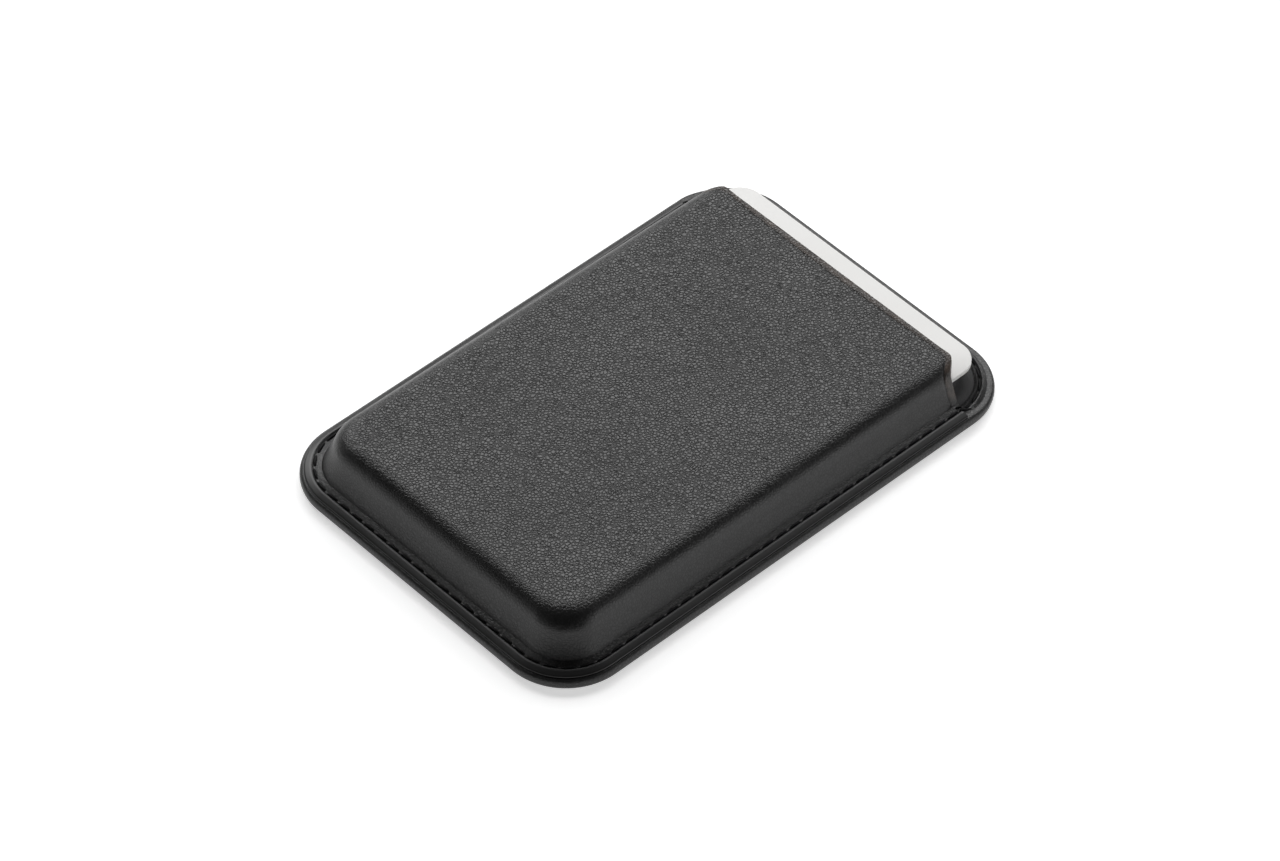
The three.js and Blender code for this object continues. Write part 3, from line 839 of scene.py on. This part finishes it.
front_leather_look = leather_material("pebbled_leather", LEATHER_BASE, BURNISH, 0.36)
back_leather_look = leather_material("panel_leather", LEATHER_BASE, None, 0.4)
lining_look = lining_material()
thread_look = thread_material()
card_look = card_material()


def finish_piece(obj, material, body, slot, *nodes):
    assign(obj, material)
    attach(obj, body)
    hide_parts(*nodes)


front_threads, back_threads = stitching()
finish_piece(pocket_front(), front_leather_look, "holder", "leather", "front_leather")
finish_piece(back_panel(), back_leather_look, "holder", "leather", "back_leather")
finish_piece(floor_lining(), lining_look, "holder", "lining", "back_lining")
finish_piece(white_card(), card_look, "card", "card", "card")
finish_piece(front_threads, thread_look, "holder", "thread", "seam_thread_top")
finish_piece(back_threads, thread_look, "holder", "thread", "seam_thread_bottom")

magnet_look = hidden_material("nickel_plate", (0.62, 0.61, 0.58), 0.25, 1.0, 900.0)
steel_look = hidden_material("rolled_steel", (0.5, 0.5, 0.51), 0.35, 1.0, 500.0, (1.0, 0.05, 1.0))
carrier_look = hidden_material("moulded_carrier", (0.035, 0.035, 0.04), 0.55, 0.0, 2500.0)
board_look = hidden_material("fibre_board", (0.2, 0.165, 0.125), 0.85, 0.0, 3000.0)
for name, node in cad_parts.items():
    if "magnet_" in name and name != "magnet_carrier" or name == "alignment_magnet":
        assign(node, magnet_look)
assign(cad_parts["magnet_carrier"], carrier_look)
assign(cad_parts["shield_plate"], steel_look)
assign(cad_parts["front_stiffener"], board_look)
assign(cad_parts["front_lining"], lining_look)


# ---- Floor, light and camera ---------------------------------------------------------------

CAMERA_AZIMUTH = math.radians(46.81)
CAMERA_ELEVATION = math.radians(46.59)
CAMERA_ROLL = math.radians(0.333)
CAMERA_DISTANCE = 0.9439
CAMERA_TARGET = Vector((-0.0014, -0.0007, 0.0))
CAMERA_LENS = 172.5
CAMERA_SENSOR = 36.0
CAMERA_REACH = 20.0
FLOOR_HALF_SIZE = 3.0
FLOOR_GLOW = 0.56
WORLD_GLOW = 0.03

# Name, azimuth from the camera's and elevation in degrees, distance, width and height
# in metres, power in watts.
LAMPS = (
    ("back_box", 180, 42, 1.0, 1.6, 0.7, 14.2),
    ("right_box", 72, 13, 1.0, 0.8, 0.36, 1.7),
    ("left_box", -78, 10, 1.0, 0.8, 0.3, 0.5),
)


def view_direction(azimuth, elevation):
    return Vector((math.sin(azimuth) * math.cos(elevation),
                   -math.cos(azimuth) * math.cos(elevation), math.sin(elevation)))


def make_camera():
    data = bpy.data.cameras.new("camera")
    data.lens = CAMERA_LENS
    data.sensor_width = CAMERA_SENSOR
    data.clip_end = CAMERA_REACH
    camera = bpy.data.objects.new("camera", data)
    back = view_direction(CAMERA_AZIMUTH, CAMERA_ELEVATION)
    turn = back.to_track_quat("Z", "Y").to_matrix() @ Matrix.Rotation(CAMERA_ROLL, 3, "Z")
    place = Matrix.Translation(CAMERA_TARGET + back * CAMERA_DISTANCE)
    camera.matrix_world = place @ turn.to_4x4()
    bpy.context.scene.collection.objects.link(camera)
    bpy.context.scene.camera = camera


def soft_box(name, azimuth, elevation, distance, width, height, power):
    """A rectangular lamp that faces the holder. Its azimuth is counted from the camera's."""
    data = bpy.data.lights.new(name, "AREA")
    data.shape = "RECTANGLE"
    data.size = width
    data.size_y = height
    data.energy = power
    lamp = bpy.data.objects.new(name, data)
    back = view_direction(CAMERA_AZIMUTH + math.radians(azimuth), math.radians(elevation))
    turn = back.to_track_quat("Z", "Y").to_matrix().to_4x4()
    lamp.matrix_world = Matrix.Translation(back * distance) @ turn
    bpy.context.scene.collection.objects.link(lamp)


def make_floor():
    size = FLOOR_HALF_SIZE
    mesh = bpy.data.meshes.new("floor")
    corners = [(-size, -size, 0), (size, -size, 0), (size, size, 0), (-size, size, 0)]
    mesh.from_pydata(corners, [], [(0, 1, 2, 3)])
    floor = bpy.data.objects.new("floor", mesh)
    bpy.context.scene.collection.objects.link(floor)
    nodes = Nodes("pale_floor")
    assign(floor, nodes.set(Base_Color=colour(0.86, 0.86, 0.86), Roughness=0.9,
                            Emission_Color=colour(1, 1, 1), Emission_Strength=FLOOR_GLOW))


def make_world():
    world = bpy.data.worlds.new("studio")
    world.use_nodes = True
    background = world.node_tree.nodes["Background"]
    background.inputs["Color"].default_value = colour(1.0, 1.0, 1.0)
    background.inputs["Strength"].default_value = WORLD_GLOW
    bpy.context.scene.world = world


make_camera()
make_floor()
make_world()
for lamp in LAMPS:
    soft_box(*lamp)
bpy.context.scene.view_settings.view_transform = "Standard"
